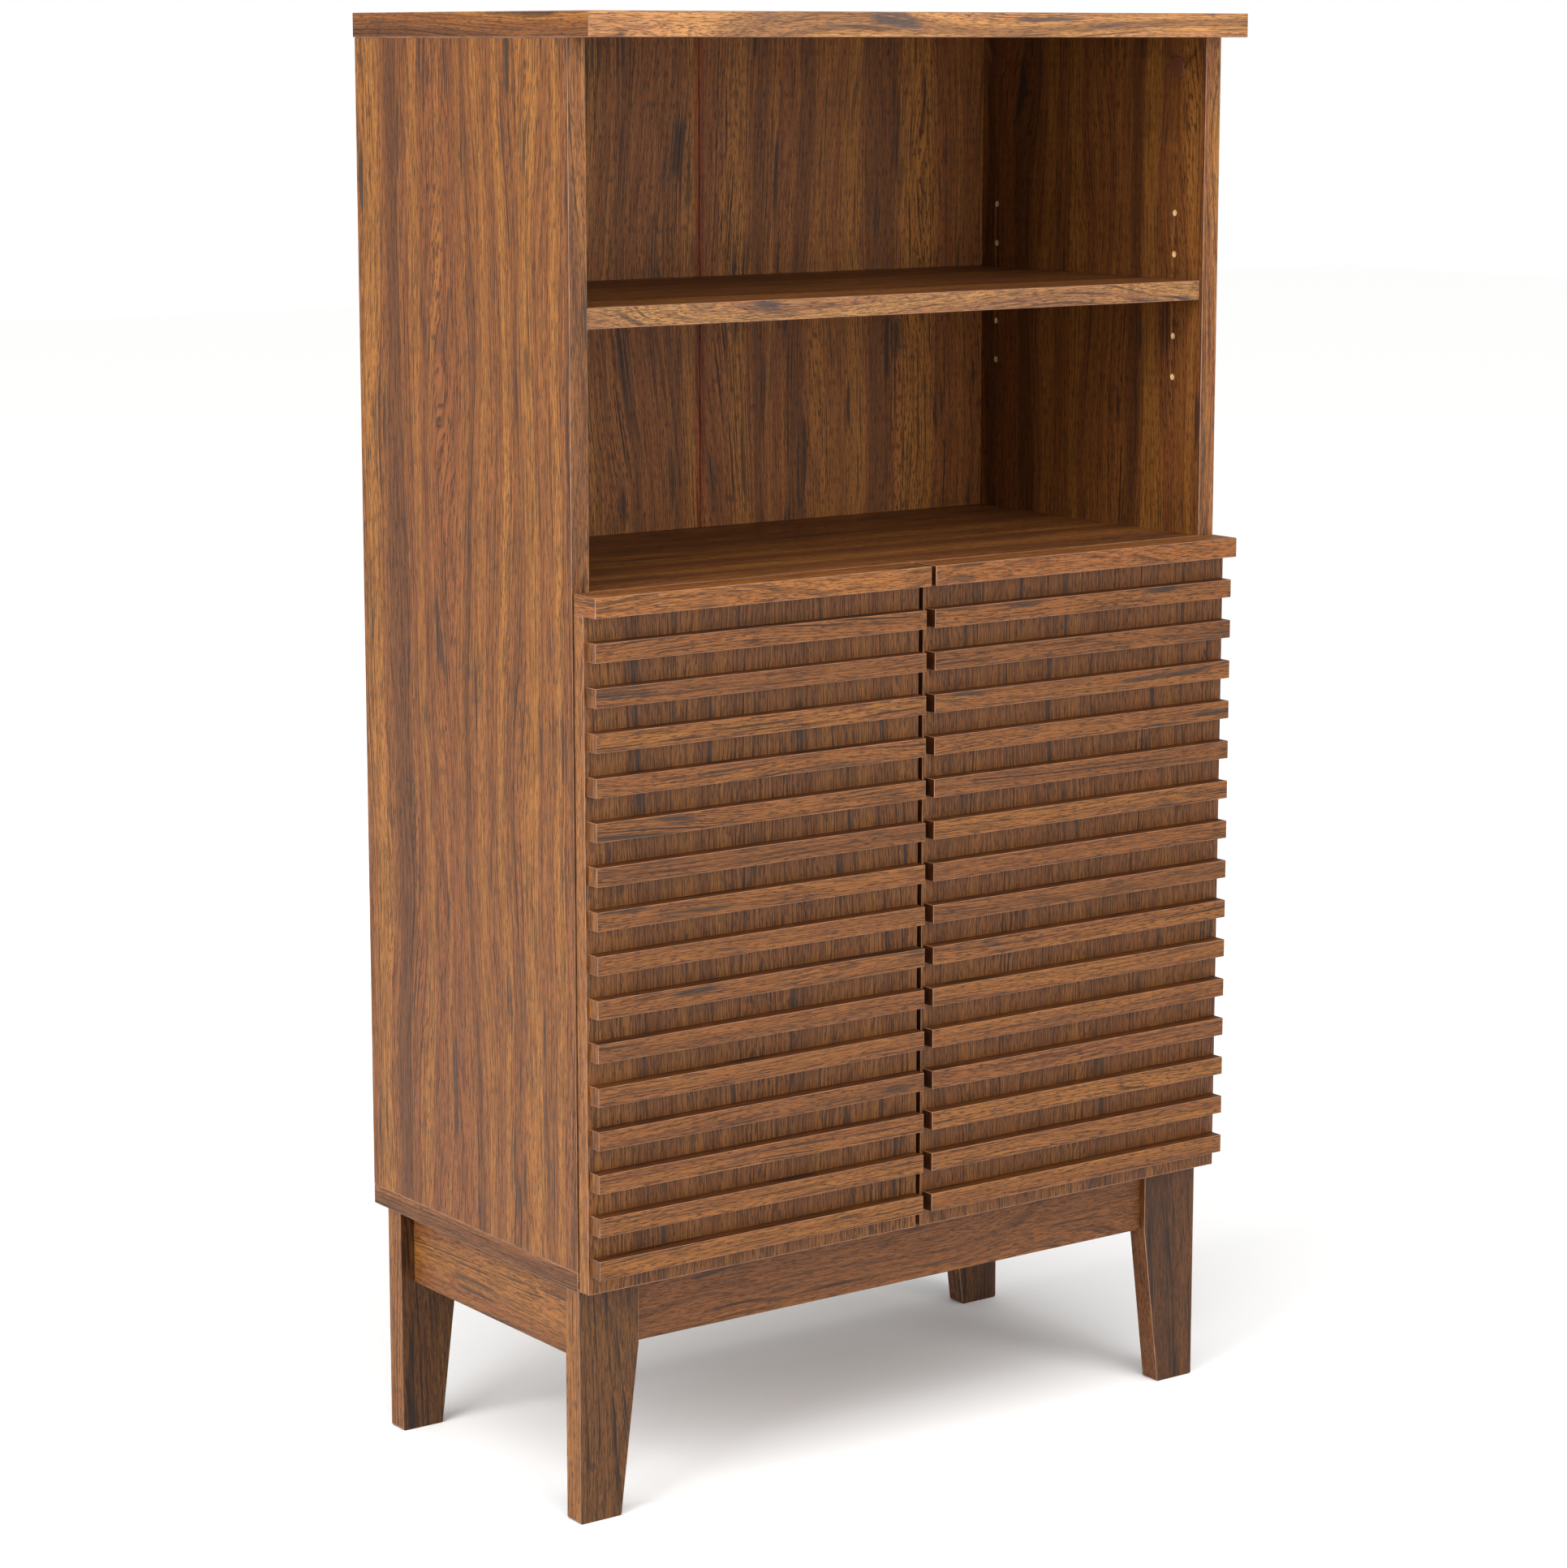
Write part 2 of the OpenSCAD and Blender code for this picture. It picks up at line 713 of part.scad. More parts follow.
// The link: two bent side plates that turn on the nose pin, joined by a bar at the far end.
// The elbow lets it reach over the cup's rim when the door stands open
module hinge_link() {
    bore_d = nose_pin_d + 2 * nose_pin_gap;
    elbow = [link_elbow_at, link_elbow_h, 0];
    tip = [link_l, 0, 0];
    low_z = -link_plate_z - link_plate_t;
    translate([nose_x, nose_y, 0]) rotate([0, 0, -link_rest_angle])
        difference() {
            union() {
                for (z = [link_plate_z, low_z])
                    translate([0, 0, z]) {
                        rod(2 * eye_r, link_plate_t);
                        translate(elbow) rod(link_bar_w + link_elbow_round, link_plate_t);
                        translate(tip) rod(2 * link_end_r, link_plate_t);
                        translate([0, 0, link_bar_step]) {
                            link_bar([0, 0, 0], elbow, link_bar_w, link_bar_h);
                            link_bar(elbow, tip, link_bar_w, link_bar_h);
                        }
                    }
                translate([0, 0, -link_web_h / 2]) link_bar(elbow, tip, link_web_w, link_web_h);
            }
            translate([0, 0, -arm_w / 2]) rod(bore_d, arm_w);
        }
}

module hinge_links(side) {
    color(steel)
        on_side(side)
            for (z = hinge_zs)
                translate([0, 0, z]) hinge_link();
}

top_panel();
side_panel("left");  // left_side_panel
side_panel("right");  // right_side_panel
bottom_panel();
fixed_shelf();
back_panel();
loose_shelf(upper_z, upper_shelf_setback);  // upper_shelf
loose_shelf(middle_z, inner_shelf_setback);  // middle_shelf
loose_shelf(lower_z, inner_shelf_setback);  // lower_shelf
leg("left", "front");  // front_left_leg
leg("right", "front");  // front_right_leg
leg("left", "back");  // back_left_leg
leg("right", "back");  // back_right_leg
cross_apron("front");  // front_apron
cross_apron("back");  // back_apron
side_apron("left");  // left_apron
side_apron("right");  // right_apron
door_panel("left");  // left_door_panel
door_panel("right");  // right_door_panel
door_rail("left");  // left_door_rail
door_rail("right");  // right_door_rail
hinge_cups("left");  // left_hinge_cups
hinge_cups("right");  // right_hinge_cups
hinge_links("left");  // left_hinge_links
hinge_links("right");  // right_hinge_links
hinge_arms();
cam_fittings();
dowels();
shelf_pins();
leg_brackets();
for (i = [1 : slat_count])
    door_slat("left", i);
for (i = [1 : slat_count])
    door_slat("right", i);
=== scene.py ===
"""Walnut shoe cabinet: finishes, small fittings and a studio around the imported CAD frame."""

import math

import bmesh
import bpy
from bpy.props import FloatProperty, FloatVectorProperty, IntProperty, PointerProperty
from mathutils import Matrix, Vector


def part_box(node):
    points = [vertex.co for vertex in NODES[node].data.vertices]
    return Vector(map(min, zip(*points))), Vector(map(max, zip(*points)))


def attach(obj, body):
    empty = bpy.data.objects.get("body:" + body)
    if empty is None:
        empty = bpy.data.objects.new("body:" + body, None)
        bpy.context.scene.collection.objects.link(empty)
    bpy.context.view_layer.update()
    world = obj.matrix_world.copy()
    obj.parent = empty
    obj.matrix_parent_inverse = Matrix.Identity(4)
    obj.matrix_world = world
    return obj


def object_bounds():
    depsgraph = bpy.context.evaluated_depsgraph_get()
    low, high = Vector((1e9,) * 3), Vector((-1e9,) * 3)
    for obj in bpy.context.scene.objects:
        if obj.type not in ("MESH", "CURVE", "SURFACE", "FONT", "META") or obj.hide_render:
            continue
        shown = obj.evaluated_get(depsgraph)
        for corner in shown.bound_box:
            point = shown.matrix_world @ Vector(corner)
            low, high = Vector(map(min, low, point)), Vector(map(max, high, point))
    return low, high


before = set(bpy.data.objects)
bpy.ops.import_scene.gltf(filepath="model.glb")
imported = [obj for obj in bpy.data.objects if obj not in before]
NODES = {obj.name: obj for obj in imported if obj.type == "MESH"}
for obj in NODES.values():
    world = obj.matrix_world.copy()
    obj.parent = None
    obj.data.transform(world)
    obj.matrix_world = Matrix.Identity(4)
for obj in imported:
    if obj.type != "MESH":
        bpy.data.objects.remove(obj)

bl_info = {
    "name": "Shoe cabinet finishes",
    "version": (1, 0, 0),
    "blender": (4, 5, 0),
    "location": "3D View > Sidebar > Cabinet",
    "description": "Dresses a slatted walnut shoe cabinet in its finishes and adds its small fittings",
    "category": "Object",
}

CAD_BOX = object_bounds()
SIDES = ("left", "right")
SLAT_NUMBERS = range(1, 1 + sum(name.startswith("left_slat_") for name in NODES))
MM = 0.001
X, Y, Z = 0, 1, 2
LOOKS_ALONG = 0.7  # a face looks along an axis where its normal has at least this share of that axis
SHARP = math.radians(40)  # an edge is sharp where its faces turn by more than this
SAME_POINT = 0.002 * MM  # corners nearer to each other than this are one corner


def linear(hex_colour):
    """An sRGB hex colour as the linear RGB that shaders and properties take."""
    channels = [int(hex_colour[i : i + 2], 16) / 255 for i in (1, 3, 5)]
    return [c / 12.92 if c <= 0.04045 else ((c + 0.055) / 1.055) ** 2.4 for c in channels]


def rgba(colour, lightness=1.0):
    """A linear colour made lighter or darker, as the four numbers that a node takes."""
    return (*(Vector(colour) * lightness), 1.0)


# ---- Settings -------------------------------------------------------------------------------


def tint(name, hex_colour, description):
    """A colour that the panel shows."""
    return FloatVectorProperty(
        name=name, subtype="COLOR", size=3, min=0, max=1, default=linear(hex_colour),
        description=description,
    )


def length(name, millimetres, description):
    """A length that the panel shows, stored in metres."""
    return FloatProperty(
        name=name, subtype="DISTANCE", unit="LENGTH", min=0, default=millimetres * MM,
        description=description,
    )


class FoilSettings(bpy.types.PropertyGroup):
    """Sizes and colours of the printed walnut foil."""

    golden: tint("Golden wood", "#925D27", "The paler, yellower bands of the walnut print")
    russet: tint("Russet wood", "#774420", "The redder bands of the walnut print")
    umber: tint("Umber wood", "#62391A", "The darkest wide bands of the walnut print")
    shade: tint("Fibre", "#2C180C", "The fine dark fibres and pores of the walnut print")
    vein: tint("Dark vein", "#29201A", "The grey-brown veins and knots")
    # Painted highlight: the eased edges take this paler colour in place of the light that catches them.
    edge: tint("Worn edge", "#91664A", "The foil where it turns over a board's edge")
    chipboard: tint("Chipboard", "#F0CC94", "The raw board inside a drilled hole")
    band_width: length("Band width", 32, "Width of a band of one colour across the grain")
    ring_width: length("Ring width", 1.8, "Width of a growth line")
    fibre_width: length("Fibre width", 0.8, "Width of a fibre line, drawn coarse enough to show")
    fibre_length: length("Fibre length", 45, "Length of a fibre line along the grain")
    pore_width: length("Pore width", 0.6, "Width of a pore line, drawn coarse enough to show")
    pore_length: length("Pore length", 8, "Length of a pore line along the grain")
    edge_width: length("Eased edge", 0.5, "Width of the eased edge of a board")
    fold_width: length("Fold tape", 9, "Width of the tape over the back panel's fold")
    # Painted shade, not a stain: the doors' ends that face sideways within this distance of the middle are
    # darkened as the shadowed gap where the doors meet.
    gap_shade: length("Meeting edge", 5, "How far from the middle the doors' edges are stained dark")
    shortest_edge: length("Shortest eased edge", 5, "Sharp edges shorter than this stay crisp, as in a hole")
    slat_edge_width: length("Slat's eased edge", 0.35, "Width of the eased edge of a slat")


class FittingSettings(bpy.types.PropertyGroup):
    """Sizes and colours of the small fittings."""

    nickel: tint("Nickel plate", "#C9C3BA", "The hinges and shelf pins")
    zinc: tint("Zinc plate", "#BDBFC2", "The brackets, cams and screws")
    beech: tint("Beech", "#CDA878", "The dowels")
    cap_colour: tint("Cap", "#5A2F18", "The stuck-on caps over the cam drums")
    felt: tint("Felt", "#6E5A48", "The doors' closing pads")
    cap_diameter: length("Cap diameter", 17, "Diameter of a cap over a cam drum")
    pad_diameter: length("Pad diameter", 8, "Diameter of a door's closing pad")
    screw_diameter: length("Screw head", 6.6, "Diameter of a screw's head")
    cam_inset: length("Cam inset", 22.5, "Distance from a joint to the middle of its cam drum")
    column_front: length("Front column", 34, "Distance from a side panel's front edge to the cams")
    column_back: length("Back column", 35, "Distance from a side panel's back edge to the cams")
    screw_seed: IntProperty(name="Screw seed", default=7, description="Seed for how the screws are turned")


class StageSettings(bpy.types.PropertyGroup):
    """The studio and its camera."""

    eye: FloatVectorProperty(
        name="Eye", subtype="TRANSLATION", unit="LENGTH", size=3, default=(-1.84516, -2.52307, 1.07071),
        description="Where the camera stands",
    )
    yaw: FloatProperty(
        name="Yaw", subtype="ANGLE", default=math.radians(35.855),
        description="How far the camera looks to the right of the back",
    )
    pitch: FloatProperty(
        name="Pitch", subtype="ANGLE", default=math.radians(9.672),
        description="How far the camera looks down",
    )
    lens: FloatProperty(
        name="Lens", subtype="DISTANCE_CAMERA", default=93.83,
        description="Focal length on a 36 mm wide frame",
    )
    shift: FloatProperty(name="Shift", default=-0.03, description="Vertical shift of the lens")
    floor: tint("Floor", "#FAFAF9", "The studio's floor")
    sky_strength: FloatProperty(
        name="Room light", default=0.45, min=0, description="Strength of the even light of the room",
    )
    key_power: FloatProperty(
        name="Key light", subtype="POWER", default=140, min=0,
        description="Power of the large soft light on the left",
    )
    front_power: FloatProperty(
        name="Front light", subtype="POWER", default=70, min=0,
        description="Power of the soft light in front",
    )
    overhead_strength: FloatProperty(
        name="Overhead light", default=2.2, min=0, description="Strength of the soft light from above",
    )


# ---- Materials ------------------------------------------------------------------------------


def add(tree, kind, inputs=None, stops=None, **settings):
    """Adds a node with its settings, its inputs and, on a ramp, its stops.

    An input is named by its place or by its name, and of several with one name the one in use is meant.
    It is given a value, a socket to link from, or a node, which stands for its first output in use.
    """
    node = tree.nodes.new(kind)
    for name, value in settings.items():
        setattr(node, name, value)
    for key, value in (inputs or {}).items():
        if isinstance(key, int):
            socket = node.inputs[key]
        else:
            socket = next(s for s in node.inputs if s.enabled and s.name == key)
        if isinstance(value, bpy.types.Node):
            value = next(s for s in value.outputs if s.enabled)
        if isinstance(value, bpy.types.NodeSocket):
            tree.links.new(value, socket)
        else:
            socket.default_value = value
    if stops:
        elements = node.color_ramp.elements
        while len(elements) < len(stops):
            elements.new(0.5)
        for element, (position, colour) in zip(elements, stops):
            element.position = position
            element.color = colour
    return node


def new_material(name):
    """An empty node material and its tree."""
    material = bpy.data.materials.new(name)
    material.use_nodes = True
    material.node_tree.nodes.clear()
    return material, material.node_tree


def end_in_shader(tree, finish):
    """Ends a material's tree in a Principled shader with these inputs."""
    shader = add(tree, "ShaderNodeBsdfPrincipled", finish)
    add(tree, "ShaderNodeOutputMaterial", {"Surface": shader})


def grain_place(tree, grain, across, cells, phases, seed):
    """The point's place in its board's own print, and 1 where it looks along across.

    In the print X runs along the grain, and Y and Z across it, in metres.
    grain is the axis that the grain follows and across the one that it follows on the ends of the board.
    cells is how many boards the metre holds along each axis, 0 where they aren't told apart, so that
    each board is cut from another stretch of the print.
    """
    texture = add(tree, "ShaderNodeTexCoord")
    place = add(tree, "ShaderNodeSeparateXYZ", {0: texture.outputs["Object"]}).outputs
    facing = add(tree, "ShaderNodeSeparateXYZ", {0: texture.outputs["Normal"]}).outputs
    looks = {}
    for axis in (grain, across):
        share = add(tree, "ShaderNodeMath", {0: facing[axis]}, operation="ABSOLUTE")
        looks[axis] = add(tree, "ShaderNodeMath", {0: share, 1: LOOKS_ALONG}, operation="GREATER_THAN")

    third = X + Y + Z - grain - across
    on_face = add(tree, "ShaderNodeCombineXYZ", {0: place[grain], 1: place[across], 2: place[third]})
    on_end = add(tree, "ShaderNodeCombineXYZ", {0: place[across], 1: place[third], 2: place[grain]})
    turned = add(
        tree, "ShaderNodeMix", {"Factor": looks[grain], "A": on_face, "B": on_end}, data_type="VECTOR"
    )

    counted = add(
        tree, "ShaderNodeVectorMath", {0: texture.outputs["Object"], 1: cells, 2: phases},
        operation="MULTIPLY_ADD",
    )
    board = add(tree, "ShaderNodeVectorMath", {0: counted}, operation="FLOOR")
    seeds = (seed, seed * 0.37, seed * 1.9)
    seeded = add(tree, "ShaderNodeVectorMath", {0: board, 1: seeds}, operation="ADD")
    draw = add(tree, "ShaderNodeTexWhiteNoise", {0: seeded}, noise_dimensions="3D")
    print_size = (7.0, 5.0, 3.0)
    place_in_print = add(
        tree, "ShaderNodeVectorMath", {0: draw.outputs["Color"], 1: print_size, 2: turned},
        operation="MULTIPLY_ADD",
    )
    return place_in_print, looks[across]


def noise_at(tree, place, along, across, detail=2.0, roughness=0.5):
    """Cloudy noise whose features are that long along and across the grain, in metres."""
    per_metre = (1 / along, 1 / across, 1 / across)
    scaled = add(tree, "ShaderNodeVectorMath", {0: place, 1: per_metre}, operation="MULTIPLY")
    return add(
        tree, "ShaderNodeTexNoise",
        {"Vector": scaled, "Scale": 1.0, "Detail": detail, "Roughness": roughness},
        noise_dimensions="3D",
    )


def noise_over_rings(tree, ring_place, width, detail=1.0, roughness=0.5):
    """Noise that is the same all along one growth ring, with features that wide."""
    scaled = add(tree, "ShaderNodeMath", {0: ring_place, 1: width}, operation="DIVIDE")
    return add(
        tree, "ShaderNodeTexNoise",
        {"W": scaled, "Scale": 1.0, "Detail": detail, "Roughness": roughness},
        noise_dimensions="1D",
    )


def mottled(tree, pattern, low, high, first, second, most=1.0):
    """The first colour where the pattern is under low, and up to that much of the second over high."""
    share = add(
        tree, "ShaderNodeMapRange",
        {"Value": pattern, "From Min": low, "From Max": high, "To Max": most},
        interpolation_type="SMOOTHSTEP",
    )
    return add(tree, "ShaderNodeMix", {"Factor": share, "A": first, "B": second}, data_type="RGBA")


# Melamine-faced chipboard with a walnut print, pressed against a fine satin plate: it is even and closed
# to the eye, with printed pores, a soft sheen and no depth, and its print runs on over the edge tape.
def walnut_foil(
    name, foil, grain, across, cells=(0, 0, 0), phases=(0, 0, 0), seed=1.0, figure=16.0, veins=0.5,
    contrast=1.0, lightness=1.0, tape=None, core=None, middle_tape_and_shade=None,
):
    """A board's material. figure is how far the rings wander, in millimetres, and veins how many are dark.

    contrast is that of the wide bands. tape is what the colour is multiplied by where a face looks along
    across: a paler edge tape on most boards, and painted shade on the legs' fronts and backs and on the
    slats' tops and bottoms. The last argument gives a strip down the cabinet's middle as (half width, faces
    that look sideways only, what the colour is multiplied by): the back panel's fold tape, and painted shade
    on the doors' ends in the gap where they meet. core is the box of a board whose drilled holes show raw
    chipboard.
    """
    material, tree = new_material(name)
    place, on_tape_and_shade = grain_place(tree, grain, across, cells, phases, seed)
    split = add(tree, "ShaderNodeSeparateXYZ", {0: place}).outputs

    # The rings: the place across the grain, made to wander so that they bend into arches and eyes
    slow = noise_at(tree, place, 0.42, 0.075, 1.0)
    quick = noise_at(tree, place, 0.13, 0.03, 1.0)
    rings = split[Y]
    for wander, reach in ((split[Z], 0.45), (slow, 4 * figure * MM), (quick, 0.45 * figure * MM)):
        rings = add(tree, "ShaderNodeMath", {0: wander, 1: reach, 2: rings}, operation="MULTIPLY_ADD")
    flow = add(tree, "ShaderNodeCombineXYZ", {0: split[X], 1: rings, 2: split[Z]})

    # Wide bands of golden, russet and umber, with some borders crisp and others soft
    band = noise_over_rings(tree, rings, foil.band_width, 1.5, 0.55)
    middle = Vector(foil.golden).lerp(Vector(foil.russet), 0.55)
    golden, russet, umber = (
        middle.lerp(Vector(wood), contrast) * lightness for wood in (foil.golden, foil.russet, foil.umber)
    )
    between = golden.lerp(russet, 0.6)
    bands = ((0.36, golden), (0.47, between), (0.49, russet), (0.56, between), (0.66, umber))
    stops = [(position, rgba(wood)) for position, wood in bands]
    colour = add(tree, "ShaderNodeValToRGB", {0: band}, stops=stops)

    # The fine patterns, each a mask that rises from 0 to 1 between two values of its noise
    mask = {}
    for pattern, noise, low, high in (
        ("dense bands", noise_over_rings(tree, rings, 0.8 * foil.band_width), 0.35, 0.62),
        ("growth lines", noise_over_rings(tree, rings, foil.ring_width, 2.0, 0.65), 0.50, 0.62),
        ("breaks", noise_at(tree, flow, 0.05, 0.006, 1.0), 0.36, 0.62),
        ("fibres", noise_at(tree, flow, foil.fibre_length, foil.fibre_width, 1.5, 0.6), 0.48, 0.60),
        ("pores", noise_at(tree, flow, foil.pore_length, foil.pore_width, 1.0), 0.53, 0.61),
        ("veins", noise_over_rings(tree, rings, 0.004, 2.0, 0.6), 0.42, 0.56),
        ("knots", noise_at(tree, flow, 0.09, 0.014, 1.0), 0.68 - 0.10 * veins, 0.76 - 0.08 * veins),
    ):
        mask[pattern] = add(
            tree, "ShaderNodeMapRange", {"Value": noise, "From Min": low, "From Max": high},
            interpolation_type="SMOOTHSTEP",
        )
    density = add(tree, "ShaderNodeMapRange", {"Value": mask["dense bands"], "To Min": 0.35, "To Max": 0.9})

    # Growth lines, closer and darker in some bands, then fibres and pores, and last the veins and knots,
    # where a few rings turn nearly black in a small patch
    shade = rgba(foil.shade, lightness)
    for tone, amount, *factors in (
        (shade, mask["growth lines"], mask["breaks"], density),
        (shade, mask["fibres"], 0.5),
        (shade, mask["pores"], 0.7),
        (rgba(foil.vein), mask["veins"], mask["knots"], 0.8),
    ):
        for factor in factors:
            amount = add(tree, "ShaderNodeMath", {0: amount, 1: factor}, operation="MULTIPLY")
        colour = add(tree, "ShaderNodeMix", {"Factor": amount, "A": colour, "B": tone}, data_type="RGBA")

    # Edge tape on most boards and painted shade on the legs and slats, on the faces that look along across;
    # the strip down the middle, which is the back panel's fold tape and, on the doors, painted shade in the
    # gap where they meet; and the raw board in the drilled holes
    tints_and_painted_shade = []
    if tape:
        tints_and_painted_shade.append((on_tape_and_shade, tape, "MULTIPLY"))
    if middle_tape_and_shade:
        half_width, sideways_only, tone = middle_tape_and_shade
        tints_and_painted_shade.append((near_middle(tree, half_width, sideways_only), tone, "MULTIPLY"))
    if core:
        tints_and_painted_shade.append((inside_board(tree, *core), foil.chipboard, "MIX"))
    for where, tone, blend in tints_and_painted_shade:
        colour = add(
            tree, "ShaderNodeMix", {"Factor": where, "A": colour, "B": rgba(tone)},
            data_type="RGBA", blend_type=blend,
        )

    gloss = add(tree, "ShaderNodeMapRange", {"Value": mask["fibres"], "To Min": 0.48, "To Max": 0.58})
    relief = add(
        tree, "ShaderNodeBump", {"Height": mask["pores"], "Strength": 0.25, "Distance": 0.05 * MM},
        invert=True,
    )
    end_in_shader(
        tree, {"Base Color": colour, "Specular IOR Level": 0.25, "Roughness": gloss, "Normal": relief}
    )
    return material


def near_middle(tree, half_width, sideways_only):
    """1 within that distance of the cabinet's middle plane, or only where a face there looks sideways."""
    texture = add(tree, "ShaderNodeTexCoord")
    place = add(tree, "ShaderNodeSeparateXYZ", {0: texture.outputs["Object"]}).outputs
    near = add(tree, "ShaderNodeMath", {0: place[X], 1: 0.0, 2: half_width}, operation="COMPARE")
    if not sideways_only:
        return near
    facing = add(tree, "ShaderNodeSeparateXYZ", {0: texture.outputs["Normal"]}).outputs
    share = add(tree, "ShaderNodeMath", {0: facing[X]}, operation="ABSOLUTE")
    sideways = add(tree, "ShaderNodeMath", {0: share, 1: LOOKS_ALONG}, operation="GREATER_THAN")
    return add(tree, "ShaderNodeMath", {0: near, 1: sideways}, operation="MULTIPLY")


def inside_board(tree, low, high, skin=0.3 * MM):
    """1 on what is cut into a board and its mirror image, and 0 on their faces.

    The box between low and high is that of the right-hand board, and skin is how far inside it counts.
    """
    texture = add(tree, "ShaderNodeTexCoord")
    place = add(tree, "ShaderNodeSeparateXYZ", {0: texture.outputs["Object"]}).outputs
    outward = add(tree, "ShaderNodeMath", {0: place[X]}, operation="ABSOLUTE")
    within = 1.0
    for axis, value in ((X, outward), (Y, place[Y]), (Z, place[Z])):
        middle = (low[axis] + high[axis]) / 2
        half = (high[axis] - low[axis]) / 2 - skin
        near = add(tree, "ShaderNodeMath", {0: value, 1: middle, 2: half}, operation="COMPARE")
        within = add(tree, "ShaderNodeMath", {0: within, 1: near}, operation="MULTIPLY")
    return within


# The foil on a sharp edge, eased and painted paler as a highlight where light catches it, mottled, with a
# drier sheen
def edge_highlight(foil):
    material, tree = new_material("walnut_foil_worn_edge")
    place = add(tree, "ShaderNodeTexCoord").outputs["Object"]
    highlight_mottle = noise_at(tree, place, 0.02, 0.02, 3.0, 0.6)
    colour = mottled(tree, highlight_mottle, 0.38, 0.62, rgba(foil.edge, 0.62), rgba(foil.edge))
    end_in_shader(tree, {"Base Color": colour, "Roughness": 0.5})
    return material


# Nickel or zinc plate over pressed steel: bright, with faint drawing lines and a cloudy, uneven gloss
def plated_steel(name, colour, roughness):
    material, tree = new_material(name)
    place = add(tree, "ShaderNodeTexCoord").outputs["Object"]
    cloud = noise_at(tree, place, 0.012, 0.012, 3.0, 0.6)
    lines = noise_at(tree, place, 0.02, 0.0004, 1.0)
    plate = mottled(tree, cloud, 0.35, 0.65, rgba(colour, 0.82), rgba(colour))
    bright, dull = roughness - 0.08, roughness + 0.1
    gloss = add(tree, "ShaderNodeMapRange", {"Value": cloud, "To Min": bright, "To Max": dull})
    relief = add(tree, "ShaderNodeBump", {"Height": lines, "Strength": 0.15, "Distance": 0.03 * MM})
    end_in_shader(tree, {"Base Color": plate, "Metallic": 1.0, "Roughness": gloss, "Normal": relief})
    return material


# Raw turned beech: pale and dry, with short dark flecks along it
def raw_beech(colour):
    material, tree = new_material("raw_beech")
    place = add(tree, "ShaderNodeTexCoord").outputs["Object"]
    flecks = noise_at(tree, place, 0.003, 0.0006, 2.0)
    wood = mottled(tree, flecks, 0.55, 0.65, rgba(colour), rgba(colour, 0.5), 0.5)
    end_in_shader(tree, {"Base Color": wood, "Roughness": 0.7})
    return material


# A printed paper cap: matt and even, with the print's upright fibres
def paper_cap(colour):
    material, tree = new_material("printed_paper_cap")
    place = add(tree, "ShaderNodeTexCoord").outputs["Object"]
    upright = (0, math.pi / 2, 0)
    turned = add(tree, "ShaderNodeMapping", {"Vector": place, "Rotation": upright})
    lines = noise_at(tree, turned, 0.05, 0.0012, 2.0)
    paper = mottled(tree, lines, 0.42, 0.62, rgba(colour, 1.25), rgba(colour, 0.7), 0.6)
    end_in_shader(tree, {"Base Color": paper, "Roughness": 0.6})
    return material


# Pressed wool felt: dull, with fibres that catch a little light at a low angle
def pressed_felt(colour):
    material, tree = new_material("pressed_felt")
    place = add(tree, "ShaderNodeTexCoord").outputs["Object"]
    fibres = noise_at(tree, place, 0.0008, 0.0003, 3.0, 0.7)
    tones = {"Factor": fibres, "A": rgba(colour, 0.6), "B": rgba(colour, 1.2)}
    wool = add(tree, "ShaderNodeMix", tones, data_type="RGBA")
    relief = add(tree, "ShaderNodeBump", {"Height": fibres, "Strength": 0.6, "Distance": 0.1 * MM})
    end_in_shader(tree, {"Base Color": wool, "Roughness": 0.95, "Sheen Weight": 0.3, "Normal": relief})
    return material


def shared(name, make, *arguments):
    """The material of that name, made the first time that it is asked for."""
    return bpy.data.materials.get(name) or make(*arguments)


# ---- Geometry Nodes -------------------------------------------------------------------------


def new_tree(name, inputs):
    """An empty Geometry Nodes tree: inputs are what it takes besides its geometry, by name and kind."""
    tree = bpy.data.node_groups.new(name, "GeometryNodeTree")
    tree.interface.new_socket("Geometry", in_out="INPUT", socket_type="NodeSocketGeometry")
    for input_name, kind in inputs.items():
        tree.interface.new_socket(input_name, in_out="INPUT", socket_type=f"NodeSocket{kind}")
    tree.interface.new_socket("Geometry", in_out="OUTPUT", socket_type="NodeSocketGeometry")
    return tree


def run_tree(piece, tree, values):
    """Gives a piece a modifier that runs the tree, with the inputs of those names set."""
    modifier = piece.modifiers.new(tree.name, "NODES")
    modifier.node_group = tree
    for item in tree.interface.items_tree:
        if item.in_out == "INPUT" and item.name in values:
            modifier[item.identifier] = values[item.name]


def edge_picker():
    """A bevel weight of 1 on edges that are sharp and long, so that the rims of holes stay crisp."""
    tree = new_tree("Pick long sharp edges", {"Least angle": "Float", "Least length": "Float"})
    given = add(tree, "NodeGroupInput").outputs
    angle = add(tree, "GeometryNodeInputMeshEdgeAngle")
    sharp = add(tree, "ShaderNodeMath", {0: angle, 1: given["Least angle"]}, operation="GREATER_THAN")
    ends = add(tree, "GeometryNodeInputMeshEdgeVertices").outputs
    span = add(
        tree, "ShaderNodeVectorMath", {0: ends["Position 1"], 1: ends["Position 2"]}, operation="DISTANCE"
    )
    long = add(tree, "ShaderNodeMath", {0: span, 1: given["Least length"]}, operation="GREATER_THAN")
    weight = add(tree, "ShaderNodeMath", {0: sharp, 1: long}, operation="MULTIPLY")
    stored = add(
        tree, "GeometryNodeStoreNamedAttribute",
        {"Geometry": given["Geometry"], "Name": "bevel_weight_edge", "Value": weight},
        data_type="FLOAT", domain="EDGE",
    )
    add(tree, "NodeGroupOutput", {0: stored})
    return tree


